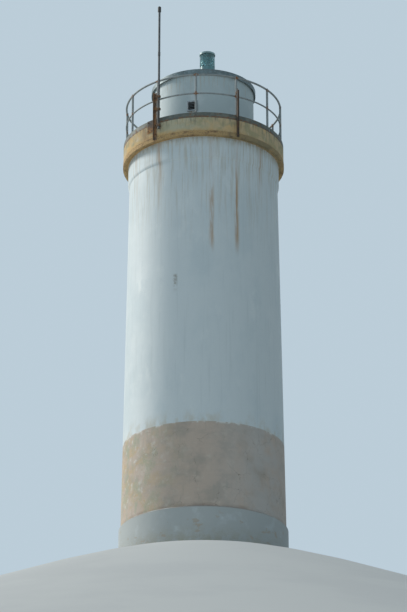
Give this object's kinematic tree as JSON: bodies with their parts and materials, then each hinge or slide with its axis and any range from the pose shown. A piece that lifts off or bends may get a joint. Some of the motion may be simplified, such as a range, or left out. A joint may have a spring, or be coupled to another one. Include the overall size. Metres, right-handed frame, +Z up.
{
  "type": "small round lighthouse tower",
  "caption": "Small white concrete lighthouse tower with a railed gallery, low drum, roof beacon and slim mast.",
  "frame": {"origin": "centre of the tower's underside, on its axis at ground level", "axes": "+Z up along the tower's axis; -Y is the seaward side that the picture shows, +X is right in that view; +Y is the entrance side"},
  "size_m": [3.5058, 3.5058, 12.3],
  "materials": {
    "white_render": "weathered white masonry paint",
    "bare_render": "bare weathered cement render",
    "slab_concrete": "stained concrete",
    "roof_coating": "dark roof coating",
    "rusted_steel": "rusted",
    "rail_paint": "chalky grey paint",
    "dark_steel": "dark weathered paint",
    "door_paint": "satin paint",
    "beacon_paint": "satin paint",
    "lens_glass": "tinted prismatic glass",
    "lamp_metal": "satin"
  },
  "bodies": {
    "root": {"ground_floor": "slab_concrete", "plinth_front_left": "white_render", "plinth_front_right": "white_render", "plinth_back_left": "white_render", "plinth_back_right": "white_render", "band_front_left": "bare_render", "band_front_right": "bare_render", "band_back_left": "bare_render", "band_back_right": "bare_render", "door_lintel": "bare_render", "door_sill": "slab_concrete", "door_frame": "door_paint", "door_leaf": "door_paint", "door_fittings": "dark_steel", "shaft_front_left": "white_render", "shaft_front_right": "white_render", "shaft_back_left": "white_render", "shaft_back_right": "white_render", "gallery_collar": "white_render", "gallery_slab": "slab_concrete", "slab_nosing": "rusted_steel", "toe_board": "dark_steel", "railing_posts": "rail_paint", "mid_rail": "rail_paint", "top_rail": "rail_paint", "outer_stays": "rusted_steel", "stay_clamps": "rusted_steel", "edge_plate": "rusted_steel", "mast": "dark_steel", "mast_clamps": "rusted_steel", "drum_front_left": "white_render", "drum_front_right": "white_render", "drum_back_left": "white_render", "drum_back_right": "white_render", "drum_vent": "dark_steel", "drum_door_frame": "door_paint", "drum_door": "door_paint", "drum_door_fittings": "dark_steel", "drum_roof": "roof_coating", "roof_band": "dark_steel", "beacon_pedestal": "beacon_paint", "beacon_casing": "beacon_paint", "beacon_lens": "lens_glass", "beacon_lamp": "lamp_metal", "beacon_cap": "rail_paint"}
  },
  "joints": []
}
